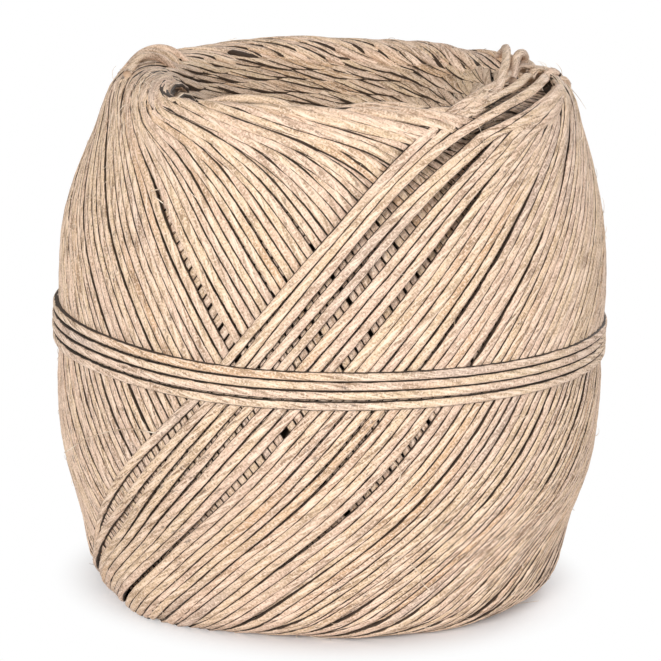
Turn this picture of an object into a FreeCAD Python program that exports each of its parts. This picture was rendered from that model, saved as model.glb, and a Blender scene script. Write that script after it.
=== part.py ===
import FreeCAD, Part
import Sketcher

import math
import os

# A self-supporting ball of cross-wound waxed thread, hollow through the middle and closed
# with four turns round its waist. Millimetres, +Z up along the ball's axis. The origin is
# the middle of the flat foot that the lowest turns make on the table.

os.makedirs("parts", exist_ok=True)
doc = FreeCAD.newDocument("cross_wound_thread_ball")

# Driving dimensions: alias, value and what it is

DIMENSIONS = (
    ("thread_diameter", 1.0, "waxed thread"),
    ("ball_diameter", 58.0, "wound body at its waist, without the band"),
    ("ball_height", 56.0, "from the flat foot to the top of the crest"),
    ("foot_cut", 0.5, "how deep the lowest turns are pressed flat"),
    ("shoulder", 7.4, "from the body's waist in to the ring along which each crest lies"),
    ("crest_round", 4.4, "radius over the crest, at the middle of the outer layer"),
    ("turning_angle", 134.0, "where on the crest a loop turns back, from the outside"),
    ("loop_count", 24.0, "loops of the outer layer that are shown"),
    ("weave_rise", 1.86, "from an under thread to the one that crosses it, on the side"),
    ("turning_rise", 2.6, "the same near the turning places, where neighbours lie close"),
    ("turning_reach", 17.0, "degrees of a loop from its turning place to its highest point"),
    ("turning_fade", 40.0, "degrees of a loop after which the side's rise applies"),
    ("first_sink", 2.4, "of the first loop under the layer's middle, near its turning places"),
    ("last_lift", 1.4, "of the last loop over the layer's middle, near its turning places"),
    ("first_phase", -172.0, "degrees of the first loop at which the thread sets out"),
    ("last_phase", 96.0, "degrees of the last loop at which the thread ends, under the band"),
    ("seam_azimuth", 153.0, "turns the pattern, so that its seam faces the front left"),
    ("bore_diameter", 18.0, "hole that the winding mandrel leaves"),
    ("dish_depth", 9.0, "from the middle of the core's crest arc down to the bore's mouth"),
    ("core_crest_round", 2.4, "radius over the crest of the inner layers"),
    ("core_crest_shift", 0.5, "how much further out that crest lies than the outer layer's"),
    ("seat_gap", 0.05, "between a thread and what it lies on"),
    ("band_turns", 4.0, "closing turns round the waist"),
    ("band_pitch", 1.45, "from one closing turn to the next"),
    ("band_tilt", 0.3, "degrees by which the closing turns climb to the right"),
    ("band_azimuth", 100.0, "where the band's ends lie, at the back"),
)

# How finely routes are cut into arcs and measured

SIDE_NODES = (28.0, 51.0, 62.0, 76.0)  # degrees from a turning place where biarcs end
NODE_SPACING = 4.0  # least degrees between two ends of biarcs
TANGENT_STEP = 0.5  # degrees either side over which a direction is read
SAMPLE_STEP = 0.4  # millimetres between the points that the gap is measured on
SKIP_DIAMETERS = 12  # stretches nearer than this along the thread aren't compared
NEXT = (-1, 0, 1)

sheet = doc.addObject("Spreadsheet::Sheet", "Sizes")
for row, (alias, value, meaning) in enumerate(DIMENSIONS, start=1):
    sheet.set(f"A{row}", str(value))
    sheet.setAlias(f"A{row}", alias)
    sheet.set(f"B{row}", meaning)
doc.recompute()

thread_radius = sheet.thread_diameter / 2
loops = int(round(sheet.loop_count))
side_level = sheet.weave_rise / 2
turning_level = sheet.turning_rise / 2
crest_ring = sheet.ball_diameter / 2 - sheet.shoulder
half_height = (sheet.ball_height + sheet.foot_cut) / 2
centre_height = half_height - sheet.foot_cut


class Barrel:
    """Half outline of a ball about its centre: one long arc up the side, one tight arc over the crest."""

    def __init__(self, waist_radius, crest_radius, crest_height, crest_round):
        self.crest_round = crest_round
        self.crest_centre = (crest_radius, crest_height - crest_round)
        reach = waist_radius - crest_radius
        rise = self.crest_centre[1]
        self.side_round = (reach**2 + rise**2 - crest_round**2) / (2 * (reach - crest_round))
        self.side_centre = (waist_radius - self.side_round, 0.0)
        self.join_angle = math.asin(rise / (self.side_round - crest_round))
        self.join = self.on_crest(self.join_angle)

    def on_crest(self, angle):
        """The crest arc's point at an angle from straight outwards."""
        radius, height = self.crest_centre
        return (radius + self.crest_round * math.cos(angle), height + self.crest_round * math.sin(angle))

    def at_latitude(self, latitude):
        """Radius, height and outward direction where a ray from the centre leaves the ball."""
        steep = math.fabs(latitude)
        on_side = steep < math.atan2(self.join[1], self.join[0])
        centre = self.side_centre if on_side else self.crest_centre
        size = self.side_round if on_side else self.crest_round
        ray = (math.cos(steep), math.sin(steep))
        along = centre[0] * ray[0] + centre[1] * ray[1]
        apart = centre[0] ** 2 + centre[1] ** 2 - size**2
        length = along + math.sqrt(along**2 - apart)
        point = (length * ray[0], length * ray[1])
        outward = ((point[0] - centre[0]) / size, (point[1] - centre[1]) / size)
        side = math.copysign(1.0, latitude)
        return point[0], point[1] * side, outward[0], outward[1] * side


def ramp(value, start, end):
    """0 before start, 1 after end and smooth between them."""
    share = min(max((value - start) / (end - start), 0.0), 1.0)
    return share * share * (3 - 2 * share)


def arc_between(start, start_way, end, end_way):
    """Two arcs that leave start along start_way, meet each other smoothly and reach end along end_way."""
    chord = end - start
    ways = start_way + end_way
    spread = 4 - ways.dot(ways)
    pull = chord.dot(ways)
    reach = (math.sqrt(pull**2 + spread * chord.dot(chord)) - pull) / spread if spread > 1e-9 \
        else chord.dot(chord) / (2 * pull)
    first = start + start_way * reach
    second = end - end_way * reach
    middle = (first + second) * 0.5
    return (start, first, middle), (middle, second, end)


def arc_middle(start, corner, end):
    """Middle of the arc that touches start-corner at start and corner-end at end."""
    half_chord = (end - start) * 0.5
    foot = start + half_chord
    depth = corner - foot
    half_angle = math.atan2(depth.Length, half_chord.Length)
    return foot + depth * (math.tan(half_angle / 2) / math.tan(half_angle)) if depth.Length > 1e-9 else foot


def tube_path(points, ways, straight):
    """Biarcs through the points, with a straight run at both ends."""
    edges = [Part.LineSegment(points[0] - ways[0] * straight, points[0]).toShape()]
    samples = [points[0] - ways[0] * straight]
    for start, start_way, end, end_way in zip(points, ways, points[1:], ways[1:]):
        for piece in arc_between(start, start_way, end, end_way):
            middle = arc_middle(*piece)
            arc = Part.Arc(piece[0], middle, piece[2])
            edges.append(arc.toShape())
            count = max(2, int(math.ceil(arc.length() / SAMPLE_STEP)))
            samples += edges[-1].discretize(count + 1)[:-1]
    edges.append(Part.LineSegment(points[-1], points[-1] + ways[-1] * straight).toShape())
    samples += [points[-1], points[-1] + ways[-1] * straight]
    return edges, samples


def least_gap(samples, diameter, name):
    """Prints the least gap between far apart stretches of one tube."""
    cell = diameter * 3
    skip = diameter * SKIP_DIAMETERS
    run = [0.0]
    for one, two in zip(samples, samples[1:]):
        run.append(run[-1] + one.distanceToPoint(two))
    cells = {}
    nearest = cell
    for index, point in enumerate(samples):
        key = tuple(int(math.floor(value / cell)) for value in point)
        for near in ((key[0] + a, key[1] + b, key[2] + c) for a in NEXT for b in NEXT for c in NEXT):
            for other in cells.get(near, ()):
                if run[index] - run[other] > skip:
                    nearest = min(nearest, point.distanceToPoint(samples[other]))
        cells.setdefault(key, []).append(index)
    print(f"{name}: length {run[-1]:.0f} mm, least gap to itself {nearest - diameter:.3f} mm")


def tube(name, edges, radius):
    """A round tube along the edges, whose volume is compared with its section times its length."""
    spine = Part.Wire(edges)
    first = edges[0]
    ring = Part.Circle(first.valueAt(first.FirstParameter), first.tangentAt(first.FirstParameter), radius)
    shape = spine.makePipeShell([Part.Wire([ring.toShape()])], True, False)
    print(f"{name}: volume {shape.Volume:.1f}, section times length {math.pi * radius**2 * spine.Length:.1f}")
    return shape


def add_feature(kind, name, label):
    """An object of the document under its own name and label."""
    feature = doc.addObject(kind, name)
    feature.Label = label
    return feature


def way_at(place, value):
    """Direction of travel along a route."""
    return (place(value + TANGENT_STEP) - place(value - TANGENT_STEP)).normalize()


def wound_tube(name, place, stops):
    """The tube of one wound thread through the stops of its route."""
    edges, samples = tube_path(
        [place(stop) for stop in stops],
        [way_at(place, stop) for stop in stops],
        sheet.thread_diameter,
    )
    least_gap(samples, sheet.thread_diameter, name)
    return tube(name, edges, thread_radius)


# Outer layer: each loop is a great circle of the ball, leant so that it turns back just inside
# both crests, and each next loop is one share of a turn further round. A loop passes under the
# later loops and over the earlier ones, so it changes level once on its way up and once down.

layer = Barrel(
    sheet.ball_diameter / 2 - thread_radius - side_level,
    crest_ring,
    half_height - thread_radius - turning_level,
    sheet.crest_round,
)
turning_point = layer.on_crest(math.radians(sheet.turning_angle))
lean = turning_point[1] / turning_point[0]
crossing_step = 180.0 / (loops + 1)


def from_turning(phase):
    """Degrees to the nearest turning place. Phase is 0 at the lower one and 180 at the upper one."""
    return min(abs(phase), 180 - abs(phase))


def fade_to_side(phase, level):
    """The level near a turning place, and the side's level away from it."""
    return level + (side_level - level) * ramp(from_turning(phase), sheet.turning_reach, sheet.turning_fade)


def level_changes(loop):
    """Degrees at which a loop's thread is half way up, on its way down the ball and on its way up."""
    return -crossing_step * (loop + 0.5), 180 - crossing_step * (loop + 1.5)


def thread_level(loop, phase):
    """Height over the layer's middle."""
    if loop == 0 and phase < 90:
        return -fade_to_side(phase, sheet.first_sink)
    if loop == loops - 1 and phase > -90:
        return fade_to_side(phase, sheet.last_lift)
    away = from_turning(phase)
    rise = fade_to_side(phase, turning_level) if away > sheet.turning_reach \
        else turning_level * math.sin(math.pi / 2 * away / sheet.turning_reach)
    change = level_changes(loop)[phase >= 0]
    return (2 * ramp(phase, change - crossing_step, change + crossing_step) - 1) * rise


def winding_point(turn):
    """Place of the thread's middle line after so many degrees of winding."""
    loop = min(int(math.floor((turn + 180) / 360)), loops - 1)
    phase = turn - 360 * loop
    latitude = -math.atan(lean * math.cos(math.radians(phase)))
    radius, height, out_radius, out_height = layer.at_latitude(latitude)
    level = thread_level(loop, phase)
    azimuth = math.radians(sheet.seam_azimuth - turn * (1 + 1 / loops))
    reach = radius + level * out_radius
    return FreeCAD.Vector(
        reach * math.cos(azimuth), reach * math.sin(azimuth), centre_height + height + level * out_height
    )


def winding_nodes():
    """Degrees of winding where one biarc ends and the next begins."""
    quarter = [sheet.turning_reach, sheet.turning_fade, *SIDE_NODES]
    regular = [0, 90] + quarter + [180 - value for value in quarter]
    regular += [value - 180 for value in regular]
    nodes = []
    for loop in range(loops):
        changes = [
            middle + side * crossing_step for middle in level_changes(loop) for side in (-1, 0, 1)
        ]
        changes = [value for value in changes if -180 < value < 180]
        kept = [value for value in regular if all(abs(value - change) > NODE_SPACING for change in changes)]
        nodes += [360 * loop + value for value in sorted(kept + changes)]
    first = sheet.first_phase
    last = 360 * (loops - 1) + sheet.last_phase
    return [first] + [node for node in nodes if first + NODE_SPACING < node < last - NODE_SPACING] + [last]


round_winding = add_feature("Part::Feature", "RoundWinding", "round_winding")
round_winding.Shape = wound_tube("outer_winding", winding_point, winding_nodes())

# The lowest turns are pressed flat where the ball stands

room = add_feature("Part::Box", "RoomOverTable", "room_over_table")
room.setExpression("Length", "2 * Sizes.ball_diameter")
room.setExpression("Width", "2 * Sizes.ball_diameter")
room.setExpression("Height", "2 * Sizes.ball_height")
room.setExpression("Placement.Base.x", "-Sizes.ball_diameter")
room.setExpression("Placement.Base.y", "-Sizes.ball_diameter")
outer_winding = add_feature("Part::Common", "OuterWinding", "outer_winding")
outer_winding.Base = round_winding
outer_winding.Tool = room

# Closing turns: a level helix round the waist, then leant

band_lean = math.radians(sheet.band_tilt)
lean_room = sheet.band_turns * sheet.band_pitch / 2 * math.sin(band_lean) \
    + sheet.ball_diameter / 2 * (1 - math.cos(band_lean))
band_radius = sheet.ball_diameter / 2 + sheet.seat_gap + lean_room + thread_radius
band_quarters = int(round(sheet.band_turns * 4))


def band_point(turn):
    """Place of the band's middle line, in degrees from the middle of its turns."""
    azimuth = math.radians(sheet.band_azimuth + turn)
    return FreeCAD.Vector(
        band_radius * math.cos(azimuth), band_radius * math.sin(azimuth), sheet.band_pitch * turn / 360
    )


waist_band = add_feature("Part::Feature", "WaistBand", "waist_band")
waist_band.Shape = wound_tube(
    "waist_band", band_point, [90 * (quarter - band_quarters / 2) for quarter in range(band_quarters + 1)]
)
waist_band.Placement = FreeCAD.Placement(
    FreeCAD.Vector(0, 0, centre_height),
    FreeCAD.Rotation(FreeCAD.Vector(0, 1, 0), -sheet.band_tilt),
)

# Inner layers: one plain barrel with dished ends round the mandrel's hole

WAIST = "Sizes.ball_diameter / 2 - Sizes.thread_diameter - Sizes.weave_rise - Sizes.seat_gap"
CREST_RING = "Sizes.ball_diameter / 2 - Sizes.shoulder + Sizes.core_crest_shift"
CREST_TOP = (
    "(Sizes.ball_height + Sizes.foot_cut) / 2 - Sizes.thread_diameter"
    " - Sizes.turning_rise / 2 - Sizes.first_sink - Sizes.seat_gap"
)
CREST_MIDDLE = f"{CREST_TOP} - Sizes.core_crest_round"

core_barrel = Barrel(
    sheet.ball_diameter / 2 - sheet.thread_diameter - sheet.weave_rise - sheet.seat_gap,
    crest_ring + sheet.core_crest_shift,
    half_height - sheet.thread_diameter - turning_level - sheet.first_sink - sheet.seat_gap,
    sheet.core_crest_round,
)
crest_radius, crest_middle = core_barrel.crest_centre
bore_radius = sheet.bore_diameter / 2
bore_end = crest_middle - sheet.dish_depth
dish_run = math.hypot(crest_radius - bore_radius, sheet.dish_depth)
dish_angle = math.atan2(sheet.dish_depth, crest_radius - bore_radius) \
    + math.asin(sheet.core_crest_round / dish_run) + math.pi / 2
dish_top = core_barrel.on_crest(dish_angle)


def flat(radius, height):
    """A point of the outline's own plane."""
    return FreeCAD.Vector(radius, height, 0)


def outline_arc(middle_radius, middle_height, size, start, end):
    """An arc of the outline, by the angles of its ends."""
    circle = Part.Circle(flat(middle_radius, middle_height), FreeCAD.Vector(0, 0, 1), size)
    return Part.ArcOfCircle(circle, start, end)


core = add_feature("PartDesign::Body", "Core", "core_winding")
outline = core.newObject("Sketcher::SketchObject", "CoreOutline")
upright = next(plane for plane in core.Origin.OriginFeatures if plane.Role == "XZ_Plane")
outline.AttachmentSupport = [(upright, "")]
outline.MapMode = "FlatFace"
join = core_barrel.join_angle
bore, dish, crest, side, low_crest, low_dish, waist = outline.addGeometry([
    Part.LineSegment(flat(bore_radius, -bore_end), flat(bore_radius, bore_end)),
    Part.LineSegment(flat(bore_radius, bore_end), flat(*dish_top)),
    outline_arc(crest_radius, crest_middle, sheet.core_crest_round, join, dish_angle),
    outline_arc(*core_barrel.side_centre, core_barrel.side_round, -join, join),
    outline_arc(crest_radius, -crest_middle, sheet.core_crest_round, -dish_angle, -join),
    Part.LineSegment(flat(dish_top[0], -dish_top[1]), flat(bore_radius, -bore_end)),
    Part.Point(flat(core_barrel.side_centre[0] + core_barrel.side_round, 0)),
], False)
START, END, MIDDLE = range(1, 4)
AXIS_X = -START
ORIGIN = (AXIS_X, START)
outline.setConstruction(waist, True)
for constraint in (
    ("Coincident", bore, END, dish, START),
    ("Coincident", low_dish, END, bore, START),
    ("Tangent", dish, END, crest, END),
    ("Tangent", crest, START, side, END),
    ("Tangent", side, START, low_crest, END),
    ("Tangent", low_crest, START, low_dish, START),
    ("Symmetric", bore, START, bore, END, AXIS_X),
    ("Symmetric", crest, MIDDLE, low_crest, MIDDLE, AXIS_X),
    ("Equal", crest, low_crest),
    ("PointOnObject", waist, START, AXIS_X),
    ("PointOnObject", waist, START, side),
):
    outline.addConstraint(Sketcher.Constraint(*constraint))
for name, expression, constraint in (
    ("bore_radius", "Sizes.bore_diameter / 2", ("DistanceX", *ORIGIN, bore, END, bore_radius)),
    ("bore_end", f"{CREST_MIDDLE} - Sizes.dish_depth", ("DistanceY", *ORIGIN, bore, END, bore_end)),
    ("crest_ring", CREST_RING, ("DistanceX", *ORIGIN, crest, MIDDLE, crest_radius)),
    ("crest_middle", CREST_MIDDLE, ("DistanceY", *ORIGIN, crest, MIDDLE, crest_middle)),
    ("crest_round", "Sizes.core_crest_round", ("Radius", crest, sheet.core_crest_round)),
    ("waist_radius", WAIST, ("DistanceX", *ORIGIN, waist, START, core_barrel.side_centre[0]
                             + core_barrel.side_round)),
):
    index = outline.addConstraint(Sketcher.Constraint(*constraint))
    outline.renameConstraint(index, name)
    outline.setExpression(f"Constraints.{name}", expression)
revolution = core.newObject("PartDesign::Revolution", "CoreRevolution")
revolution.Profile = outline
revolution.ReferenceAxis = (outline, ["V_Axis"])
revolution.Angle = 360
core.setExpression("Placement.Base.z", "(Sizes.ball_height - Sizes.foot_cut) / 2")

# Everything is worked out, checked and written, one file for each sub-part

doc.recompute()
for thing in doc.Objects:
    if "Invalid" in thing.State or "Error" in thing.State:
        raise RuntimeError(f"{thing.Label} failed: {thing.State}")
for sub_part in (core, outer_winding, waist_band):
    shape = sub_part.Shape
    if shape.isNull() or not shape.isValid() or len(shape.Solids) != 1:
        raise RuntimeError(f"{sub_part.Label} is not one valid solid")
    shape.exportStep(f"parts/{sub_part.Label}.step")
    box = shape.optimalBoundingBox(False)
    print(f"{sub_part.Label}: {box.XLength:.1f} x {box.YLength:.1f} x {box.ZLength:.1f} mm, "
          f"from z {box.ZMin:.2f}, volume {shape.Volume:.0f} mm3")
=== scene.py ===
import math

import bpy
import numpy as np
from mathutils import Matrix, Vector


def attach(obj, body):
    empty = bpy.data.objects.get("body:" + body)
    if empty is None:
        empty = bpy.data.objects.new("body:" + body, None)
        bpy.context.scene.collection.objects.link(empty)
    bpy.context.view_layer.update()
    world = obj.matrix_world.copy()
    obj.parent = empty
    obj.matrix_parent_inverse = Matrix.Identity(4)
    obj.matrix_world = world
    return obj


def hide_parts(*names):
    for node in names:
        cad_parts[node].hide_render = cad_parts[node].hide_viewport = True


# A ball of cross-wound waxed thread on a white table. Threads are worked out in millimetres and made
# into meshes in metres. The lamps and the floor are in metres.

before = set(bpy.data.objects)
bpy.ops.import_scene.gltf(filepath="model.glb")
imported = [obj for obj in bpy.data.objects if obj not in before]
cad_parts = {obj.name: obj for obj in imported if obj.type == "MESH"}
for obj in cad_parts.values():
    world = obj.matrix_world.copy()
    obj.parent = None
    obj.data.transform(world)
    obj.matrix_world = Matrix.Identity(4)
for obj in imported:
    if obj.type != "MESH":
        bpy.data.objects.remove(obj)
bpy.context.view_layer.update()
MM = 0.001
CENTRE = 27.5

# Helpers

KNOTS = 1 << 14
FIRST_KNOT = 4096


def ramp(value, start, end):
    """0 before start, 1 after end and smooth between them."""
    share = np.clip((value - start) / (end - start), 0.0, 1.0)
    return share * share * (3 - 2 * share)


def bell(value, middle, width):
    """1 at the middle and smoothly down to 0 on both sides."""
    return np.exp(-(((value - middle) / width) ** 2))


def wander(place, spacing, seed):
    """Smooth random values of about -1 to 1 along a line."""
    knots = np.random.default_rng(seed).uniform(-1, 1, KNOTS)
    along = np.asarray(place) / spacing + FIRST_KNOT
    low = np.floor(along).astype(int)
    share = ramp(along - low, 0.0, 1.0)
    return knots[low] * (1 - share) + knots[low + 1] * share


def through(places, values, at):
    """Smooth curve through given values, level beyond its ends."""
    places = np.asarray(places, dtype=float)
    values = np.asarray(values, dtype=float)
    slopes = np.gradient(values, places, axis=0)
    at = np.clip(at, places[0], places[-1])
    index = np.clip(np.searchsorted(places, at, side="right") - 1, 0, len(places) - 2)
    across = (-1,) + (1,) * (values.ndim - 1)
    step = (places[index + 1] - places[index]).reshape(across)
    share = (at - places[index]).reshape(across) / step
    back = 1 - share
    start = values[index] * (1 + 2 * share) + step * slopes[index] * share
    end = values[index + 1] * (1 + 2 * back) - step * slopes[index + 1] * back
    return start * back**2 + end * share**2


def turned_from(azimuth, middle):
    """Degrees between an azimuth and a middle, the shorter way round."""
    return np.abs((azimuth - middle + 180) % 360 - 180)


def around(azimuth, reach, height):
    """Points or directions from azimuths in radians, distances from the axis and heights."""
    return np.stack([reach * np.cos(azimuth), reach * np.sin(azimuth), height + 0 * azimuth], axis=1)


def frames(points, outward):
    """Directions along, out of and across a thread."""
    along = np.gradient(points, axis=0)
    along /= np.linalg.norm(along, axis=1)[:, None]
    across = np.cross(along, outward)
    across /= np.linalg.norm(across, axis=1)[:, None]
    return along, np.cross(across, along), across


# Outline of the ball

CREST_MARGIN = 0.004


class Half:
    """Upper or lower outline of a layer's middle: a long arc up the side, a tight one over the crest."""

    def __init__(self, waist, ring, top, crest_round):
        self.waist = waist
        self.crest_round = crest_round
        self.crest = (ring, top - crest_round)
        reach = waist - ring
        apart = reach**2 + self.crest[1] ** 2 - crest_round**2
        self.side_round = apart / (2 * (reach - crest_round))
        self.side = (waist - self.side_round, 0.0)
        join_angle = math.asin(self.crest[1] / (self.side_round - crest_round))
        join_r = ring + crest_round * math.cos(join_angle)
        join_z = self.crest[1] + crest_round * math.sin(join_angle)
        self.join = math.atan2(join_z, join_r)
        far = math.hypot(*self.crest)
        self.steepest = math.atan2(self.crest[1], ring) + math.asin(crest_round / far)
        self.lean = math.tan(self.steepest - CREST_MARGIN)

    def at(self, steep):
        """Radius, height and outward direction where rays from the centre leave the outline."""
        side = steep < self.join
        mid_r = np.where(side, self.side[0], self.crest[0])
        mid_z = np.where(side, self.side[1], self.crest[1])
        size = np.where(side, self.side_round, self.crest_round)
        ray_r = np.cos(steep)
        ray_z = np.sin(steep)
        along = mid_r * ray_r + mid_z * ray_z
        apart = mid_r**2 + mid_z**2 - size**2
        length = along + np.sqrt(np.maximum(along**2 - apart, 0))
        radius = length * ray_r
        height = length * ray_z
        return radius, height, (radius - mid_r) / size, (height - mid_z) / size


UPPER = Half(waist=28.9, ring=20.2, top=28.1, crest_round=4.3)
LOWER = Half(waist=28.9, ring=21.0, top=26.6, crest_round=4.3)


def outline(latitude):
    """Both halves together, by latitude in radians."""
    steep = np.abs(latitude)
    upper = UPPER.at(np.minimum(steep, UPPER.steepest))
    lower = LOWER.at(np.minimum(steep, LOWER.steepest))
    above = latitude >= 0
    radius, height, out_r, out_z = (np.where(above, one, two) for one, two in zip(upper, lower))
    side = np.where(above, 1.0, -1.0)
    return radius, height * side, out_r, out_z * side


# The ball isn't even: it is drawn in at the upper left and at the lower corners, and its foot swells at the
# front left. Each form of the foot has its size, azimuth, width, and the depths over which it sets in.

UPPER_LEFT = 0.9
UPPER_LEFT_AZIMUTHS = (15, 75)
UPPER_LEFT_HEIGHTS = (10, 24)
LOW_CORNERS = ((-0.5, -20, 5), (0.2, -11, 5))
FOOT_FORMS = ((-0.45, -90, 34, 19, 25), (1.25, -137, 17, 17, 23), (-0.4, -32, 24, 12, 20))


def stance(azimuth, height):
    """How far the ball's outline stands out from an even one."""
    from_left = 1 - ramp(turned_from(azimuth, 180), *UPPER_LEFT_AZIMUTHS)
    level = -UPPER_LEFT * from_left * ramp(height, *UPPER_LEFT_HEIGHTS)
    for size, middle, width in LOW_CORNERS:
        level = level + size * bell(height, middle, width)
    for size, middle, width, start, full in FOOT_FORMS:
        level = level + size * bell(turned_from(azimuth, middle), 0, width) * ramp(-height, start, full)
    return level


# The near lip of the mouth is drawn down

LIP_MIDDLE = -97.0
LIP_FULL = 38.0
LIP_END = 62.0
LIP_DROP = 0.25
LIP_BACK = (9, 14)
DROP_START = 0.4


def lip(azimuth):
    """Share of the near lip's drop at an azimuth in degrees."""
    return 1 - ramp(turned_from(azimuth, LIP_MIDDLE), LIP_FULL, LIP_END)


# The last strands lie in groups, with open gaps between them. Each row gives a strand, counted back from
# the last, and by how many degrees it is aside of an even winding at these places between the turnings.

PLACES = (-139, -128, -109, -85, -76, -68, -61, -54)
ASIDE = {
    0: (2.4, 2.4, 2.3, -1.7, -4.7, -6.3, -7.4, -6.0),
    1: (1.5, 2.0, 2.1, -0.4, -2.2, -3.6, -6.0, -7.0),
    2: (1.2, 1.6, 1.9, -0.1, -1.2, -1.6, -2.2, -2.8),
    3: (2.8, 5.8, 3.4, 0.2, -0.6, -1.2, -1.8, -2.2),
    4: (2.6, 5.5, 4.0, 0.8, 0.2, -0.8, -1.3, -1.7),
    5: (4.0, 8.1, 6.0, 1.5, 0.5, -0.5, -1.1, -1.4),
    7: (5.0, 8.1, 6.0, 2.3, 1.2, 0.5, -0.6, -1.2),
    8: (6.0, 9.3, 7.4, 3.7, 3.0, 1.6, 0.4, 0.2),
    13: (6.0, 9.0, 6.8, 3.4, 2.6, 1.4, 0.4, 0.2),
    14: (7.0, 10.0, 8.0, 4.2, 3.2, 1.8, 0.6, 0.4),
    17: (6.6, 9.6, 7.4, 4.0, 3.0, 1.6, 0.5, 0.3),
    18: (6.6, 9.6, 7.6, 5.2, 4.4, 3.2, 2.2, 1.6),
    60: (0, 0, 0, 0, 0, 0, 0, 0),
}
ASIDE_IN = (-172, -140)
ASIDE_OUT = (-45, -12)
LOOPS = 146
SIDE_GAP = 0.9
SIDE_GAP_LOOP = 67.5
SIDE_GAP_LOOPS = 9
SIDE_GAP_IN = (40, 80)
SIDE_GAP_OUT = (95, 150)


def spread(loop, phase):
    """By how many degrees a loop is aside of an even winding."""
    strands = sorted(ASIDE)
    rows = np.array([ASIDE[strand] for strand in strands], dtype=float)
    shift = np.zeros_like(phase)
    for strand in range(strands[-1]):
        part = (loop == LOOPS - 1 - strand) & (phase < 0)
        row = [np.interp(strand, strands, column) for column in rows.T]
        shift[part] = through(PLACES, row, phase[part])
    shift *= ramp(phase, *ASIDE_IN) * (1 - ramp(phase, *ASIDE_OUT))
    near = np.exp(-np.abs(loop - SIDE_GAP_LOOP) / SIDE_GAP_LOOPS)
    gap = SIDE_GAP / 2 * 360 / LOOPS * np.where(loop > SIDE_GAP_LOOP, -1.0, 1.0) * near
    return shift + gap * ramp(phase, *SIDE_GAP_IN) * (1 - ramp(phase, *SIDE_GAP_OUT))


# The winding. A loop's phase is 0 at the foot and -180 and 180 at the top, and back counts the loops that
# are left to the last. The last loops fan out over the near right of the rim, with air under them. SWAY has
# an unevenness in degrees, what is added to it away from the last loops, its spacing and its seed.

SEAM = 153.0
SWAY = ((0.08, 0.17, 37, 1), (0.08, 0.12, 90, 2))
SETTLED = (3, 14)
CREST_UNEVEN = 0.008
FAN_LOOPS = 10.5
FAN_ASIDE = 13.0
FAN_FADE = (6, 46)
FAN_HOLD = (8.0, 60.0)
FAN_HOOK = 0.6
FAN_HOOK_FULL = 0.4
FAN_DROP = 0.24
FAN_DROP_BACK = (0, 3, 9, 22)
FAN_DROP_SHARE = (0.2, 1, 1, 0)


def course(turn, loop, phase, back, fan):
    """Azimuth of the thread in degrees."""
    from_top = 180 - np.abs(phase)
    held = 1 - ramp(from_top, *FAN_HOLD)
    hooked = FAN_ASIDE * fan * held - FAN_HOOK * from_top * held * ramp(fan, 0, FAN_HOOK_FULL)
    fanned = FAN_ASIDE * fan * (1 - ramp(from_top, *FAN_FADE))
    shift = spread(loop, phase) + np.where(phase > 0, hooked, fanned)
    for size, added, spacing, seed in SWAY:
        shift += (size + added * ramp(back, *SETTLED)) * wander(turn, spacing, seed)
    return SEAM - turn * (1 + 1 / LOOPS) + shift


def rise(turn, phase, back, azimuth):
    """Latitude of the thread in radians: a leant great circle, lower at the near lip and in the fan."""
    wave = np.cos(np.radians(phase)) * (1 - CREST_UNEVEN * (1 + wander(turn, 180, 3)))
    at_lip = LIP_DROP * lip(azimuth) * ramp(back, *LIP_BACK)
    in_fan = FAN_DROP * np.interp(back, FAN_DROP_BACK, FAN_DROP_SHARE)
    wave = wave * (1 - np.maximum(at_lip, in_fan) * ramp(-wave, DROP_START, 1))
    return -np.arctan(np.where(wave < 0, UPPER.lean, LOWER.lean) * wave)


WEAVE = 0.58
WEAVE_FADE = (30.0, 85.0)
TURNING_RISE = 0.9
TURNING_REACH = 17.0
CHANGE_STEPS = 4


def passing(loop, phase):
    """1 where a strand lies over earlier ones and -1 where it lies under later ones."""
    step = 180 / (LOOPS + 1)
    change = np.where(phase < 0, -step * (loop + 0.5), 180 - step * (loop + 1.5))
    return 2 * ramp(phase, change - CHANGE_STEPS * step, change + CHANGE_STEPS * step) - 1


def woven(turn, phase, over):
    """How far the strands that it crosses raise or sink a strand."""
    away = np.minimum(np.abs(phase), 180 - np.abs(phase))
    turned = np.where(away < TURNING_REACH, np.sin(np.pi / 2 * away / TURNING_REACH), 1.0)
    turning = TURNING_RISE * over * turned
    spiral = WEAVE * (2 * (turn + 180) / (360 * LOOPS) - 1)
    return turning + (spiral - turning) * ramp(away, *WEAVE_FADE)


RANK_BITS = 8


def rank(turn):
    """Order in which crowded turning places stay on top, 0 to 1: neighbours are far apart in it."""
    places = np.round((turn + 180) / 180).astype(int)
    number = places // 2 + 3 * (places % 2)
    order = np.zeros(len(turn))
    for bit in range(RANK_BITS):
        order += ((number >> bit) & 1) / 2 ** (bit + 1)
    return order


def crowding(azimuth, radius, height):
    """Room between neighbouring strands as a share of their room at the waist."""
    sideways = radius * np.gradient(azimuth)
    forward = np.hypot(np.hypot(sideways, np.gradient(radius)), np.gradient(height))
    steep = np.sqrt(np.maximum(1 - (sideways / forward) ** 2, 0))
    return radius * steep / (UPPER.waist * math.sin(UPPER.steepest))


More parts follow.
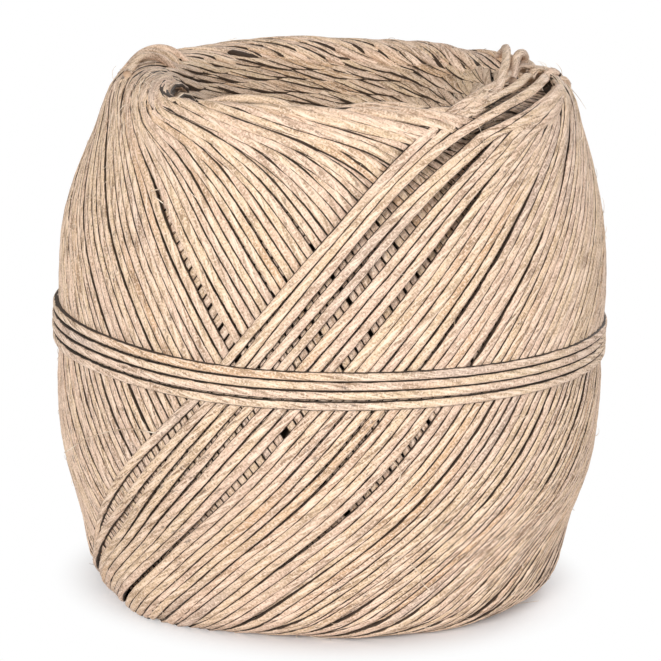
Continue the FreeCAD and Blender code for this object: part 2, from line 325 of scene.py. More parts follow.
RIPPLE = 0.05
SHOULDER = 0.45
SHOULDER_HEIGHT = 13.5
SHOULDER_WIDTH = 6.5
UNEVEN = 0.12
UNEVEN_HEIGHTS = (12, 26)
SUNK = 0.4
SUNK_SHARE = 0.8
SUNK_OVER = 0.2
SUNK_RANK = 0.9
SUNK_RAMP = 0.25
SUNK_BACK = (8, 11)
FAN_SUNK = 0.3
FAN_SUNK_FULL = 0.2
FAN_SUNK_FADE = (14, 44)
FAN_LIFT = 0.7
FAN_LIFT_FADE = (6, 28)
FOOT_LIFT = 0.6
FOOT_LIFT_FADE = (6, 26)
PRESSED_WIDTH = 3.2
PRESSED_SHARE = 0.6
PRESSED_DEPTH = 0.3


def winding(turn):
    """Middle line and outward direction of the outer layer, after so many degrees of winding."""
    loop = np.minimum(np.floor((turn + 180) / 360), LOOPS - 1)
    phase = turn - 360 * loop
    back = LOOPS - 1.5 - turn / 360
    from_top = 180 - np.abs(phase)
    fan = np.maximum(1 - back / FAN_LOOPS, 0)
    degrees = course(turn, loop, phase, back, fan)
    azimuth = np.radians(degrees)
    radius, height, out_r, out_z = outline(rise(turn, phase, back, degrees))
    over = passing(loop, phase)
    level = woven(turn, phase, over) + RIPPLE * wander(turn, 23, 5)
    level = level + SHOULDER * bell(height, SHOULDER_HEIGHT, SHOULDER_WIDTH)
    level = level + UNEVEN * wander(turn, 45, 12) * ramp(np.abs(height), *UNEVEN_HEIGHTS)
    level = level + stance(degrees, height)
    crowded = SUNK_RANK * rank(turn) * ramp(back, *SUNK_BACK) - crowding(azimuth, radius, height)
    sunk = ramp(crowded, 0.0, SUNK_RAMP)
    every_other = np.round(back).astype(int) % 2
    lower = every_other * ramp(fan, 0, FAN_SUNK_FULL) * (1 - ramp(from_top, *FAN_SUNK_FADE))
    level = level - SUNK * sunk * (SUNK_SHARE + SUNK_OVER * over) - FAN_SUNK * lower
    level = level + FAN_LIFT * fan * (1 - ramp(from_top, *FAN_LIFT_FADE))
    level = level + FOOT_LIFT * fan * (1 - ramp(np.abs(phase), *FOOT_LIFT_FADE))
    pressed = bell(height, 0, PRESSED_WIDTH)
    level = level * (1 - PRESSED_SHARE * pressed) - PRESSED_DEPTH * pressed
    points = around(azimuth, radius + level * out_r, CENTRE + height + level * out_z)
    return points, around(azimuth, out_r, out_z)


# Threads as meshes

HALF_WIDTH = 0.50
HALF_DEPTH = 0.33
SQUARENESS = 2.5
SIDES = 10
END_EDGE = 0.2
NEXT_THREAD = 2.0
NO_LINES = (2.0, 2.0)
FLOOR_GAP = 0.02
MAP_SPARE = 5.0
MAP_SHAPE = 3.6


def meeting(points, outward, others):
    """How far aside of a thread's middle its neighbour covers it, as a share of its half width."""
    _, out, across = frames(points, outward)
    apart = others - points
    aside = np.abs(np.sum(apart * across, axis=1)) / HALF_WIDTH
    above = np.sum(apart * out, axis=1) / HALF_DEPTH
    reach = np.full(len(points), 1.0)
    for place in np.linspace(1, 0.3, 29):
        own = (1 - place**SQUARENESS) ** (1 / SQUARENESS)
        far = np.minimum(np.abs(aside - place), 1)
        other = np.where(far < 1, above + (1 - far**SQUARENESS) ** (1 / SQUARENESS), -np.inf)
        reach = np.where(other >= own, place, reach)
    return reach


def corners(values, following):
    """Pairs of values at the corners of all faces, from those of each side of a ring and of its next."""
    return np.stack([values[:-1], values[1:], following[1:], following[:-1]], axis=2).reshape(-1, 2)


def add_map(mesh, name, values):
    """A UV map from a pair of values for each corner."""
    uv_map = mesh.uv_layers.new(name=name)
    uv_map.data.foreach_set("uv", values.astype(np.float32).ravel())


def bake_places(marks, count):
    """Bake map: the threads cut into rows of equal length, one above the other."""
    corner = marks.reshape(count, 4, 2)
    start = corner[:, 0, 0]
    length = corner[:, 1, 0] - start
    total = start.max() + MAP_SPARE
    rows = max(2, int(math.sqrt(total / MAP_SHAPE)))
    row_length = total / rows
    row = np.floor((start + length / 2) / row_length)
    u = (corner[:, :, 0] - (row * row_length)[:, None]) / row_length
    v = (row[:, None] + 0.08 + 0.84 * corner[:, :, 1]) / rows
    return np.stack([np.clip(0.01 + 0.98 * u, 0, 1), v], axis=2)


class Tubes:
    """Threads of one piece, gathered into one mesh."""

    def __init__(self, sides=SIDES):
        self.sides = sides
        self.points = []
        self.faces = []
        self.marks = []
        self.edges = []
        self.count = 0
        angle = (np.arange(sides) + 0.5) * 2 * np.pi / sides - np.pi / 2
        power = 2 / SQUARENESS
        self.across = np.sign(np.cos(angle)) * np.abs(np.cos(angle)) ** power
        self.out = np.sign(np.sin(angle)) * np.abs(np.sin(angle)) ** power

    def add(self, points, outward, half_width, half_depth, start=0.0, covers=(1.0, 1.0)):
        """One thread. Its half sizes, and how far it shows on either side as a share of its half width,
        are single numbers or one for each point."""
        _, out, across = frames(points, outward)
        rings = len(points)
        wide = np.broadcast_to(half_width, rings)[:, None]
        deep = np.broadcast_to(half_depth, rings)[:, None]
        ring = points[:, None, :] + wide[:, :, None] * self.across[None, :, None] * across[:, None, :]
        ring = ring + deep[:, :, None] * self.out[None, :, None] * out[:, None, :]
        self.points.append(ring.reshape(-1, 3))
        base = self.count + np.arange(rings - 1)[:, None] * self.sides
        side = np.arange(self.sides)[None, :]
        first = base + side
        other = base + (side + 1) % self.sides
        quads = np.stack([first, first + self.sides, other + self.sides, other], axis=2)
        self.faces.append(quads.reshape(-1, 4))
        lengths = np.linalg.norm(np.diff(points, axis=0), axis=1)
        run = np.concatenate([[0.0], np.cumsum(lengths)]) + start
        along = np.broadcast_to(run[:, None], (rings, self.sides))
        low = np.broadcast_to((side + 0.5) / self.sides, (rings, self.sides))
        high = low + 1 / self.sides
        self.marks.append(corners(np.stack([along, low], 2), np.stack([along, high], 2)))
        shown = [np.broadcast_to(cover, rings)[:, None] for cover in covers]
        left = wide * (shown[0] + self.across[None, :])
        right = wide * (shown[1] - self.across[None, :])
        edges = np.stack([left, right], 2)
        self.edges.append(corners(edges, np.roll(edges, -1, axis=1)))
        self.close(self.count, run[0], False)
        self.close(self.count + (rings - 1) * self.sides, run[-1], True)
        self.count += rings * self.sides
        return run[-1]

    def close(self, base, place, turned):
        """The flat end of a thread, in strips of four corners."""
        for index in range(self.sides // 2 - 1):
            corner = [base + index, base + index + 1,
                      base + self.sides - 2 - index, base + self.sides - 1 - index]
            self.faces.append(np.array([corner if turned else corner[::-1]]))
            self.marks.append(np.full((4, 2), [place, 0.5]))
            self.edges.append(np.full((4, 2), END_EDGE))

    def make(self, name, material, nodes):
        """The mesh object, in metres. UV maps: place on the thread, distances from its edges for the
        painted crease shade, baking.
        """
        points = np.concatenate(self.points)
        points[:, 2] = np.maximum(points[:, 2], FLOOR_GAP)
        faces = np.concatenate(self.faces)
        marks = np.concatenate(self.marks)
        mesh = bpy.data.meshes.new(name)
        mesh.vertices.add(len(points))
        mesh.vertices.foreach_set("co", (points * MM).astype(np.float32).ravel())
        mesh.loops.add(faces.size)
        mesh.loops.foreach_set("vertex_index", faces.astype(np.int32).ravel())
        mesh.polygons.add(len(faces))
        mesh.polygons.foreach_set("loop_start", np.arange(0, faces.size, 4, dtype=np.int32))
        mesh.polygons.foreach_set("use_smooth", np.ones(len(faces), dtype=bool))
        mesh.update(calc_edges=True)
        add_map(mesh, "Thread", marks)
        add_map(mesh, "Edge", np.concatenate(self.edges))
        add_map(mesh, "OFBake", bake_places(marks, len(faces)))
        mesh.validate()
        mesh.materials.append(material)
        piece = bpy.data.objects.new(name, mesh)
        bpy.context.scene.collection.objects.link(piece)
        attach(piece, "root")
        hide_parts(*nodes)


# Materials

def shade(name):
    """A material's tree and a maker of its nodes."""
    material = bpy.data.materials.new(name)
    material.use_nodes = True
    tree = material.node_tree
    tree.nodes.clear()

    def node(kind, settings=None, **inputs):
        made = tree.nodes.new(kind)
        for key, value in (settings or {}).items():
            setattr(made, key, value)
        for key, value in inputs.items():
            numbered = key[0] == "i" and key[1:].isdigit()
            socket = made.inputs[int(key[1:])] if numbered else made.inputs[key]
            if isinstance(value, bpy.types.NodeSocket):
                tree.links.new(value, socket)
            else:
                socket.default_value = value
        return made

    return material, tree, node


def surface(tree, node, shader):
    """Ends a material with its shader."""
    output = node("ShaderNodeOutputMaterial")
    tree.links.new(shader.outputs[0], output.inputs["Surface"])


def tint(colour, factors):
    """A colour with each channel times its factor."""
    return tuple(min(1, channel * factor) for channel, factor in zip(colour, factors))


# Painted shade in the creases: a dark brown along a thread's sides where its neighbours meet it, fading out
# between these distances from the edge in millimetres, with a ragged edge of this size.
PAINTED_CREASE_SHADE = (0.030, 0.017, 0.010)
PAINTED_CREASE_SHADE_EDGE = (0.055, 0.10)
PAINTED_CREASE_SHADE_RAGGED = 0.20


def thread_material(name, pale, brown, dark_share):
    """Waxed bast fibre: fine mottling, streaks with a slight lay and slow changes of hue, with painted
    shade along its sides where neighbours meet it.
    """
    material, tree, node = shade(name)
    place = node("ShaderNodeUVMap", {"uv_map": "Thread"}).outputs["UV"]
    split = node("ShaderNodeSeparateXYZ", None, Vector=place)
    along = split.outputs["X"]
    around_it = split.outputs["Y"]

    def math_node(operation, one, two=0.0, three=0.0):
        return node("ShaderNodeMath", {"operation": operation}, i0=one, i1=two, i2=three).outputs[0]

    def streaks(per_mm, per_turn, lay, depth, detail, rough=0.55):
        turned = math_node("MULTIPLY", math_node("MULTIPLY_ADD", along, lay, around_it), per_turn)
        stretched = math_node("MULTIPLY", along, per_mm)
        spot = node("ShaderNodeCombineXYZ", None, X=stretched, Y=turned, Z=depth)
        noise = node("ShaderNodeTexNoise", None, Vector=spot.outputs[0], Scale=1.0, Detail=detail)
        noise.inputs["Roughness"].default_value = rough
        return noise.outputs["Fac"]

    def window(value, low, high, start=0.0, end=1.0):
        made = node("ShaderNodeMapRange", {"interpolation_type": "SMOOTHSTEP"}, Value=value,
                    i1=low, i2=high, i3=start, i4=end)
        return made.outputs[0]

    def mix(share, one, two):
        made = node("ShaderNodeMix", {"data_type": "RGBA"}, i0=share)
        for index, value in ((6, one), (7, two)):
            if isinstance(value, bpy.types.NodeSocket):
                tree.links.new(value, made.inputs[index])
            else:
                made.inputs[index].default_value = (*value, 1)
        return made.outputs[2]

    fibre = streaks(0.3, 12.0, 0.06, 1.0, 3.0, 0.7)
    speck = streaks(4.5, 12.0, 0.0, 19.0, 2.0, 0.6)
    fleck = streaks(0.7, 9.0, 0.06, 41.0, 3.0, 0.65)
    broad = streaks(0.25, 3.0, 0.10, 7.0, 2.0)
    slow = streaks(0.05, 0.6, 0.0, 13.0, 2.0)
    patch = streaks(0.02, 0.2, 0.0, 29.0, 2.0)
    cloud = streaks(0.03, 0.2, 0.0, 53.0, 2.0)
    spot = node("ShaderNodeTexCoord").outputs["Object"]
    worn = node("ShaderNodeTexNoise", None, Vector=spot, Scale=65.0, Detail=2.0).outputs["Fac"]
    worn = window(worn, 0.40, 0.62, 0.45, 1.0)
    cream = tint(pale, (1.04, 1.02, 0.92))
    pink = tint(pale, (1.0, 0.955, 0.97))
    ochre = tint(pale, (0.92, 0.78, 0.62))
    lilac = tint(pale, (0.74, 0.74, 0.82))
    light = tint(pale, (1.28, 1.34, 1.42))
    grey = tint(brown, (0.5, 0.6, 0.8))
    colour = mix(window(slow, 0.40, 0.60), cream, pink)
    colour = mix(window(patch, 0.56 - dark_share, 0.66 - dark_share, 0.0, 0.8), colour, ochre)
    colour = mix(window(cloud, 0.56, 0.68, 0.0, 0.8), colour, lilac)
    colour = mix(window(broad, 0.32, 0.50, 0.5, 0.0), colour, brown)
    colour = mix(math_node("MULTIPLY", worn, window(fibre, 0.38, 0.48, 0.95, 0.0)), colour, brown)
    colour = mix(math_node("MULTIPLY", worn, window(fleck, 0.57, 0.66, 0.0, 0.85)), colour, grey)
    colour = mix(window(speck, 0.34, 0.46, 0.55, 0.0), colour, brown)
    colour = mix(window(fibre, 0.52, 0.62, 0.0, 0.85), colour, light)
    colour = mix(window(speck, 0.52, 0.64, 0.0, 0.7), colour, light)
    # Painted shade: the crease colour goes along the thread's sides where neighbours meet it, in place of
    # the shade between threads.
    edge_map = node("ShaderNodeUVMap", {"uv_map": "Edge"}).outputs["UV"]
    sides = node("ShaderNodeSeparateXYZ", None, Vector=edge_map)
    edge = math_node("MINIMUM", sides.outputs["X"], sides.outputs["Y"])
    noise = streaks(0.5, 1.0, 0.0, 37.0, 3.0, 0.6)
    ragged = math_node("MULTIPLY_ADD", noise, PAINTED_CREASE_SHADE_RAGGED, -PAINTED_CREASE_SHADE_RAGGED / 2)
    crease_shade = window(math_node("ADD", edge, ragged), *PAINTED_CREASE_SHADE_EDGE, 0.97, 0.0)
    colour = mix(crease_shade, colour, PAINTED_CREASE_SHADE)
    height = math_node("ADD", fibre, math_node("MULTIPLY", speck, 0.6))
    bump = node("ShaderNodeBump", None, Strength=0.6, Distance=0.0002, Height=height)
    rough = window(fibre, 0.3, 0.7, 0.72, 0.58)
    shader = node("ShaderNodeBsdfPrincipled", None, Roughness=rough, Normal=bump.outputs["Normal"])
    tree.links.new(colour, shader.inputs["Base Color"])
    shader.inputs["Specular IOR Level"].default_value = 0.2
    shader.inputs["Sheen Weight"].default_value = 0.05
    shader.inputs["Sheen Roughness"].default_value = 0.5
    surface(tree, node, shader)
    return material


def grain_material(name, scale, detail, roughness, span, dark, pale):
    """Plain fibre with a fine grain between two colours, which span a part of the noise."""
    material, tree, node = shade(name)
    spot = node("ShaderNodeTexCoord").outputs["Object"]
    grain = node("ShaderNodeTexNoise", None, Vector=spot, Scale=scale, Detail=detail).outputs["Fac"]
    tone = node("ShaderNodeValToRGB", None, Fac=grain)
    for element, place, colour in zip(tone.color_ramp.elements, span, (dark, pale)):
        element.position = place
        element.color = (*colour, 1)
    shader = node("ShaderNodeBsdfPrincipled", None, Roughness=roughness)
    tree.links.new(tone.outputs[0], shader.inputs["Base Color"])
    surface(tree, node, shader)
    return material


PALE = (0.69, 0.52, 0.39)
BROWN = (0.26, 0.165, 0.10)
outer_look = thread_material("outer_thread", PALE, BROWN, 0.0)
band_look = thread_material("band_thread", (0.70, 0.54, 0.41), BROWN, 0.0)
# Inner layers and bore: the same thread with its pale and brown painted darker, as painted shade for their
# depth in the mouth.
inner_shaded_look = thread_material("inner_thread", (0.60, 0.455, 0.335), (0.24, 0.155, 0.095), 0.05)
fuzz_look = grain_material("loose_fibre", scale=300.0, detail=2.0, roughness=0.6, span=(0.35, 0.6),
                           dark=(0.42, 0.30, 0.20), pale=(0.86, 0.74, 0.60))
core_look = grain_material("core_shade", scale=900.0, detail=3.0, roughness=0.8, span=(0.0, 1.0),
                           dark=(0.09, 0.056, 0.035), pale=(0.34, 0.23, 0.145))

# Outer layer, in pieces that follow one another. A line of painted shade is drawn along each side of a
# strand where the nearest loops meet it, in place of the shade in the crease, but not where a strand has no
# neighbour at the mouth.

PIECES = 4
STEP = 3.0
FIRST_TURN = -172.0
LAST_TURN = 360 * (LOOPS - 1) + 96.0
NEIGHBOURS = (1, 2)
OPEN_FROM = 0.98
OPEN_SIDE = 0.6
MOUTH_REACH = (16, 28)
turns = np.arange(FIRST_TURN, LAST_TURN + STEP / 2, STEP)
line, outward = winding(turns)
line_along, line_out, line_across = frames(line, outward)
width = HALF_WIDTH * (1 + 0.06 * wander(turns, 29, 8) + 0.05 * wander(turns, 7, 9))
depth = HALF_DEPTH * (1 + 0.06 * wander(turns, 31, 10))
at_mouth = 1 - ramp(180 - np.abs((turns + 180) % 360 - 180), *MOUTH_REACH)
shown = []
for side in (1, -1):
    reach = np.ones(len(turns))
    for steps in NEIGHBOURS:
        beside = turns + side * steps * 360
        known = (beside > FIRST_TURN) & (beside < LAST_TURN)
        found = meeting(line, outward, winding(np.clip(beside, FIRST_TURN, LAST_TURN))[0])
        reach = np.minimum(reach, np.where(known, found, 1.0))
    shown.append(np.where(reach > OPEN_FROM, reach + OPEN_SIDE * at_mouth, reach))
next_side = np.sum((winding(turns + 360)[0] - line) * line_across, axis=1)
shown_right = np.where(next_side > 0, shown[0], shown[1])
shown_left = np.where(next_side > 0, shown[1], shown[0])
cuts = np.linspace(0, len(turns) - 1, PIECES + 1).astype(int)
for number, (start, end) in enumerate(zip(cuts, cuts[1:])):
    part = slice(start, end + 1)
    covers = (shown_left[part], shown_right[part])
    tubes = Tubes()
    tubes.add(line[part], outward[part], width[part], depth[part], 0.0, covers)
    tubes.make(f"outer_winding_{number + 1}", outer_look, ["outer_winding"])

# Strands that stand loose at the rim: azimuth in degrees, radius and height above the middle

LOOSE = (
    ((-50, 23.0, 27.9), (-43, 22.0, 28.5), (-36, 20.6, 29.4), (-28, 19.4, 30.2), (-13, 18.0, 30.8),
     (6, 17.9, 30.8), (24, 19.5, 29.6), (35, 21.1, 28.0)),
    ((-27, 20.1, 28.8), (-18, 19.2, 29.9), (-9, 19.1, 30.7), (0, 19.5, 30.5), (3, 19.9, 29.7),
     (0, 19.5, 28.7)),
    ((172, 23.4, 26.6), (165, 21.6, 28.9), (158, 19.6, 29.0), (152, 17.6, 26.6), (149, 16.6, 22.5)),
    ((178, 22.0, 28.0), (170, 20.4, 29.2), (162, 18.6, 28.2), (158, 17.4, 25.6)),
    ((196, 22.6, 28.0), (184, 20.6, 29.3), (174, 18.6, 28.6), (166, 17.2, 26.4)),
    ((-96, 23.0, 26.4), (-106, 22.2, 27.6), (-117, 22.3, 27.6), (-127, 23.2, 26.6)),
    ((-62, 23.0, 26.6), (-74, 22.2, 27.5), (-86, 22.3, 27.3), (-96, 23.2, 26.2)),
)
LOOSE_WIDTH = 0.45
LOOSE_DEPTH = 0.42
RINGS_PER_KNOT = 8


def curve(knots):
    """Three rows of values on a smooth curve through knots."""
    return through(np.linspace(0, 1, len(knots)), knots, np.linspace(0, 1, RINGS_PER_KNOT * len(knots))).T


tubes = Tubes()
run = 0.0
for knots in LOOSE:
    azimuth, reach, above = curve(knots)
    azimuth = np.radians(azimuth)
    steep = np.arctan2(above - UPPER.crest[1], reach - UPPER.crest[0])
    points = around(azimuth, reach, CENTRE + above)
    out = around(azimuth, np.cos(steep), np.sin(steep))
    run = tubes.add(points, out, LOOSE_WIDTH, LOOSE_DEPTH, run, NO_LINES) + NEXT_THREAD
tubes.make("loose_strands", outer_look, ["outer_winding"])

# Fuzz: short fibres that stand off the threads, and a few long ones given by azimuth and latitude in
# degrees and height above the outline

FIBRES = 1500
FIBRE_RINGS = 6
FIBRE_HALF = 0.034
LONG_FIBRE_HALF = 0.06
NEXT_FIBRE = 0.5
LONG_FIBRES = (
    ((-158.5, -21.8, 1.6), (-151, -19, 2.2), (-143.6, -15, 1.8), (-132, -10.9, 1.6), (-125, -10.6, 1.2)),
    ((-131.2, 34.3, 1.0), (-129.8, 34.3, 1.5), (-128.3, 35.0, 1.1)),
    ((-130.7, 33.7, 1.0), (-128.9, 33.4, 1.6), (-127.1, 32.6, 1.2)),
    ((-77.4, -12.8, 1.0), (-76.3, -13.8, 1.6), (-76.0, -15.0, 1.5), (-76.0, -16.4, 1.0)),
    ((-72.2, -32.9, 1.0), (-70.1, -34.7, 1.7), (-69.2, -36.5, 1.6), (-66.7, -38.6, 1.0)),
)
draw = np.random.default_rng(17)
tubes = Tubes(4)
run = 0.0
share = np.linspace(0, 1, FIBRE_RINGS)[:, None]
thin = FIBRE_HALF * (1 - 0.5 * share[:, 0])
for place in draw.integers(0, len(line), FIBRES):
    lean = draw.uniform(-1, 1)
    aside = draw.uniform(-1, 1)
    stand = draw.uniform(0.1, 0.8)
    length = draw.uniform(0.5, 1.0) + 2.4 * draw.random() ** 4
    start = line[place] + line_out[place] * HALF_DEPTH * 0.9 + line_across[place] * aside * 0.3
    leaning = line_along[place] * lean + line_across[place] * (0.9 * draw.uniform(-1, 1))
    bend = line_across[place] * draw.uniform(-0.6, 0.6) - line_out[place] * stand * 0.7
    points = start + length * (share * (leaning + line_out[place] * stand) + share**2 * bend)
    out = np.broadcast_to(line_out[place], points.shape)
    run = tubes.add(points, out, thin, thin, run) + NEXT_FIBRE
for knots in LONG_FIBRES:
    azimuth, latitude, level = curve(knots)
    azimuth = np.radians(azimuth)
    radius, height, out_r, out_z = outline(np.radians(latitude))
    points = around(azimuth, radius + level * out_r, CENTRE + height + level * out_z)
    out = around(azimuth, out_r, out_z)
    run = tubes.add(points, out, LONG_FIBRE_HALF, LONG_FIBRE_HALF, run) + NEXT_FIBRE
tubes.make("loose_fibres", fuzz_look, ["outer_winding"])

# Inner layers: under the outer one each next layer turns back lower in the mouth

INNER_LOOPS = 64
INNER_SIZES = (0.972, 0.93, 0.88, 0.83, 0.78, 0.73, 0.68, 0.63, 0.58, 0.53)
INNER_REACH = 52
FIRST_REACH = 28
INNER_STEP = 4.0
INNER_CREST_UNEVEN = 0.012
INNER_RISE = 0.5
INNER_TURNING = 20
INNER_RIPPLE = 0.15
INNER_SWAY = 1.5
INNER_END = 14
INNER_END_DROP = 0.8
INNER_PARTS = (slice(0, 5), slice(5, None))


def inner_layer(size, seed, upper):
    """Short stretches round the turning places of one inner layer, over one mouth."""
    half = UPPER if upper else LOWER
    side = 1.0 if upper else -1.0
    end = FIRST_REACH if size == INNER_SIZES[0] else INNER_REACH
    phases = np.arange(-end, end + 1, INNER_STEP)
    away = np.abs(phases)
    stretches = []
    for loop in range(INNER_LOOPS):
        place = phases + 360 * loop
        azimuth = seed * 37.0 - place * (1 + 1 / INNER_LOOPS)
        wave = np.cos(np.radians(phases)) * (1 - INNER_CREST_UNEVEN * (1 + wander(place, 90, seed)))
        if upper:
            wave = wave * (1 - LIP_DROP * lip(azimuth) * ramp(wave, DROP_START, 1))
        steep = np.minimum(np.arctan(half.lean * wave), half.steepest)
        radius, height, out_r, out_z = half.at(steep)
        turned = np.sin(np.pi / 2 * np.minimum(away / INNER_TURNING, 1))
        level = -np.sign(phases) * INNER_RISE * turned + INNER_RIPPLE * wander(place, 31, seed + 1)
        level = level - INNER_END_DROP * ramp(away, end - INNER_END, end)
        azimuth = np.radians(azimuth + INNER_SWAY * wander(place, 60, seed + 2))
        above = height * size + level * out_z
        points = around(azimuth, radius * size + level * out_r, CENTRE + above * side)
        stretches.append((points, around(azimuth, out_r, out_z * side)))
    return stretches


for upper, label in ((True, "top"), (False, "bottom")):
    layers = list(enumerate(INNER_SIZES))
    for number, part in enumerate(INNER_PARTS):
        tubes = Tubes(8)
        run = 0.0
        for index, size in layers[part]:
            for points, out in inner_layer(size, 20 + 3 * index, upper):
                run = tubes.add(points, out, HALF_WIDTH, HALF_DEPTH, run) + NEXT_THREAD
        tubes.make(f"inner_layers_{label}_{number + 1}", inner_shaded_look, ["core_winding"])

# The hole that the mandrel leaves: two crossing families of the first threads

BORE = 9.0
BORE_THREADS = 44
BORE_TOP = 13.2
BORE_RINGS = 15
BORE_TURN = 2.4
BORE_FAMILIES = ((1, 0.5), (-1, 1.3))
tubes = Tubes(8)
run = 0.0
share = np.linspace(0, 1, BORE_RINGS)
for side, level in BORE_FAMILIES:
    for index in range(BORE_THREADS):
        sway = 0.2 * wander(share * 100 + index * 500, 60, 61)
        azimuth = 2 * np.pi * (index + sway) / BORE_THREADS + side * BORE_TURN * share
        reach = BORE + level + 0.12 * wander(share * 100 + index * 300, 40, 62)
        points = around(azimuth, reach, CENTRE - BORE_TOP + 2 * BORE_TOP * share)
        out = around(azimuth, -1.0, 0.0)
        run = tubes.add(points, out, HALF_WIDTH, HALF_DEPTH, run) + NEXT_THREAD
tubes.make("bore_threads", inner_shaded_look, ["core_winding"])

# What lies under the threads: a plain barrel, seen only as shade between them and from above under the lip

CORE_SIZE = 0.945
CORE_STEPS = 96
CORE_ROWS = 14
CORE_CREST_DROP = 0.05
CORE_CREST_HEIGHTS = (8, 20)
CORE_LIP_DROP = 3.0
CORE_LIP_START = 16.0
CORE_HOLE = BORE + 1.9
profile = [(CORE_HOLE, -BORE_TOP)]
for half, side in ((LOWER, -1), (UPPER, 1)):
    radius, height, _, _ = half.at(np.linspace(0, 1, CORE_ROWS) * half.steepest)
    share = CORE_SIZE - CORE_CREST_DROP * ramp(height, *CORE_CREST_HEIGHTS)
    rows = [(r, z * side) for r, z in zip(radius * share, height * share)]
    profile += rows[::-1] if side < 0 else rows[1:]
profile.append((CORE_HOLE, BORE_TOP))
verts = []
for r, z in profile:
    for angle in np.arange(CORE_STEPS) * 2 * np.pi / CORE_STEPS:
        sunk = CORE_LIP_DROP * lip(math.degrees(angle)) * ramp(z, CORE_LIP_START, UPPER.crest[1])
        verts.append((r * math.cos(angle) * MM, r * math.sin(angle) * MM, (CENTRE + z - sunk) * MM))
faces = []
for row in range(len(profile)):
    low = row * CORE_STEPS
    high = (row + 1) % len(profile) * CORE_STEPS
    for column in range(CORE_STEPS):
        following = (column + 1) % CORE_STEPS
        faces.append((low + column, low + following, high + following, high + column))
core_mesh = bpy.data.meshes.new("core_body")
core_mesh.from_pydata(verts, [], faces)
core_mesh.update()
core_mesh.materials.append(core_look)
core = bpy.data.objects.new("core_body", core_mesh)
bpy.context.scene.collection.objects.link(core)
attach(core, "root")
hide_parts("core_winding")

# Closing turns round the waist. At the left they ride up on the strands under them.

BAND_TURNS = 4
BAND_PITCH = 0.97
BAND_STEP = 3.0
BAND_TILT = math.radians(0.3)
BAND_START = 100.0
BAND_RADIUS = 29.45
BAND_RIGHT_DROP = 0.25
BAND_RISE = 0.55
BAND_WIDTH = 0.455
BAND_DEPTH = 0.42
LEFT_RISE = ((110, 0.0), (180, 1.25), (217, 0.85), (243, 0.15), (255, 0.0))
LEFT_SPREAD = 0.12
turn = np.arange(-180 * BAND_TURNS, 180 * BAND_TURNS + 1, BAND_STEP)
number = turn / 360
azimuth = np.radians(BAND_START + turn)
left = through(*zip(*LEFT_RISE), (BAND_START + turn) % 360) * (1 + LEFT_SPREAD * number)
reach = BAND_RADIUS + 0.06 * wander(turn, 40, 71) - BAND_RIGHT_DROP * np.maximum(np.cos(azimuth), 0)
above = BAND_PITCH * number + 0.05 * wander(turn, 60, 72) + BAND_RISE + left
tilt = np.array([
    [math.cos(BAND_TILT), 0, -math.sin(BAND_TILT)],
    [0, 1, 0],
    [math.sin(BAND_TILT), 0, math.cos(BAND_TILT)],
])
band_line = around(azimuth, reach, above) @ tilt.T + np.array([0, 0, CENTRE])
band_out = around(azimuth, 1.0, 0.0) @ tilt.T
tubes = Tubes(12)
tubes.add(band_line, band_out, BAND_WIDTH, BAND_DEPTH)
tubes.make("waist_band_thread", band_look, ["waist_band"])

# Camera: the photograph's distance, height and lean

DISTANCE = 300.0
ELEVATION = math.radians(12.6)
ROLL = math.radians(1.5)
PICTURE = 661
FOCAL_PIXELS = 2780
SENSOR = 36.0
middle = Vector((0, 0, CENTRE)) * MM
camera_data = bpy.data.cameras.new("camera")
camera_data.sensor_width = SENSOR
camera_data.lens = FOCAL_PIXELS / PICTURE * SENSOR
camera = bpy.data.objects.new("camera", camera_data)
bpy.context.scene.collection.objects.link(camera)
eye = Vector((0, -DISTANCE * math.cos(ELEVATION), CENTRE + DISTANCE * math.sin(ELEVATION))) * MM
look = (middle - eye).to_track_quat("-Z", "Y")
camera.rotation_mode = "QUATERNION"
camera.matrix_world = Matrix.Translation(eye) @ look.to_matrix().to_4x4() @ Matrix.Rotation(ROLL, 4, "Z")
bpy.context.scene.camera = camera

# Floor: white to the camera away from the ball, and a matte ground that keeps its shadow near it

SPAN = 3.0
SHADOW_FULL = 21.0
SHADOW_END = 30.0
floor_mesh = bpy.data.meshes.new("floor")
floor_corners = [(-SPAN, -SPAN, 0), (SPAN, -SPAN, 0), (SPAN, SPAN, 0), (-SPAN, SPAN, 0)]
floor_mesh.from_pydata(floor_corners, [], [(0, 1, 2, 3)])
floor_look, floor_tree, floor_node = shade("floor_white")
white = floor_node("ShaderNodeEmission", None, Color=(1, 1, 1, 1), Strength=1.0)
matte = floor_node("ShaderNodeBsdfDiffuse", None, Color=(0.9, 0.9, 0.93, 1))
rays = floor_node("ShaderNodeLightPath")
floor_place = floor_node("ShaderNodeTexCoord").outputs["Object"]
distance = floor_node("ShaderNodeVectorMath", {"operation": "LENGTH"}, i0=floor_place).outputs["Value"]
whiteness = floor_node("ShaderNodeMapRange", {"interpolation_type": "SMOOTHSTEP"}, Value=distance,
                       i1=SHADOW_FULL * MM, i2=SHADOW_END * MM, i3=0.0, i4=1.0)
share = floor_node("ShaderNodeMath", {"operation": "MULTIPLY"}, i0=rays.outputs["Is Camera Ray"],
                   i1=whiteness.outputs[0])
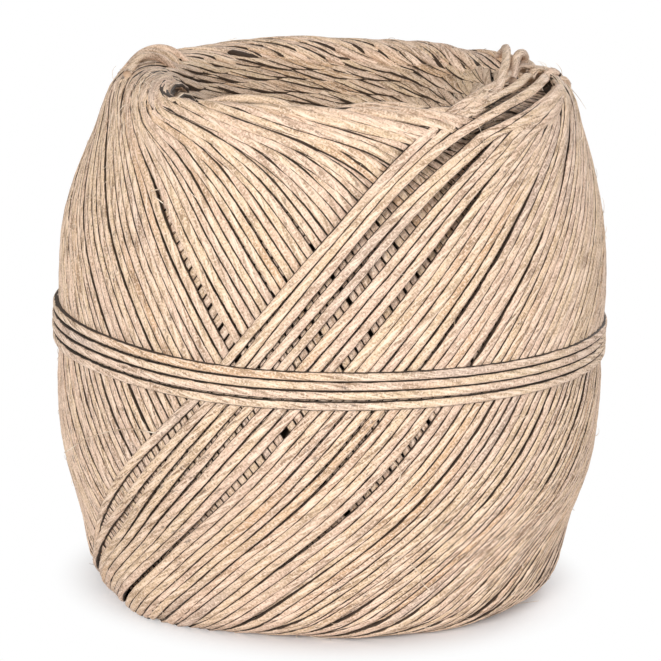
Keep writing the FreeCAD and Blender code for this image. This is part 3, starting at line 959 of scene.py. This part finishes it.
blend = floor_node("ShaderNodeMixShader", None, Fac=share.outputs[0])
floor_tree.links.new(matte.outputs[0], blend.inputs[1])
floor_tree.links.new(white.outputs[0], blend.inputs[2])
surface(floor_tree, floor_node, blend)
floor_mesh.materials.append(floor_look)
floor = bpy.data.objects.new("floor", floor_mesh)
bpy.context.scene.collection.objects.link(floor)

# World: white to the camera, and a weak fill for everything else

FILL = 0.37
world = bpy.data.worlds.new("world")
bpy.context.scene.world = world
world.use_nodes = True
sky = world.node_tree
sky.nodes.clear()
sky_rays = sky.nodes.new("ShaderNodeLightPath")
seen = sky.nodes.new("ShaderNodeBackground")
seen.inputs["Color"].default_value = (1, 1, 1, 1)
fill = sky.nodes.new("ShaderNodeBackground")
fill.inputs["Color"].default_value = (1.0, 0.99, 0.98, 1)
fill.inputs["Strength"].default_value = FILL
sky_mix = sky.nodes.new("ShaderNodeMixShader")
sky_out = sky.nodes.new("ShaderNodeOutputWorld")
sky.links.new(sky_rays.outputs["Is Camera Ray"], sky_mix.inputs["Fac"])
sky.links.new(fill.outputs[0], sky_mix.inputs[1])
sky.links.new(seen.outputs[0], sky_mix.inputs[2])
sky.links.new(sky_mix.outputs[0], sky_out.inputs["Surface"])

# Lamps: name, place and size in metres, power and colour

LAMPS = (
    ("key", (-0.35, -0.95, 0.36), 0.35, 9.3, (1.0, 0.985, 0.96)),
    ("side", (0.7, -0.6, 0.3), 0.5, 3.2, (1.0, 0.99, 0.98)),
    ("rear", (0.45, 0.85, 0.5), 0.5, 4.0, (1.0, 0.99, 0.98)),
)
for name, place, size, power, colour in LAMPS:
    data = bpy.data.lights.new(name, "AREA")
    data.shape = "DISK"
    data.size = size
    data.energy = power
    data.color = colour
    lamp = bpy.data.objects.new(name, data)
    lamp.location = place
    lamp.rotation_mode = "QUATERNION"
    lamp.rotation_quaternion = (middle - Vector(place)).to_track_quat("-Z", "Y")
    bpy.context.scene.collection.objects.link(lamp)

bpy.context.scene.view_settings.view_transform = "Standard"
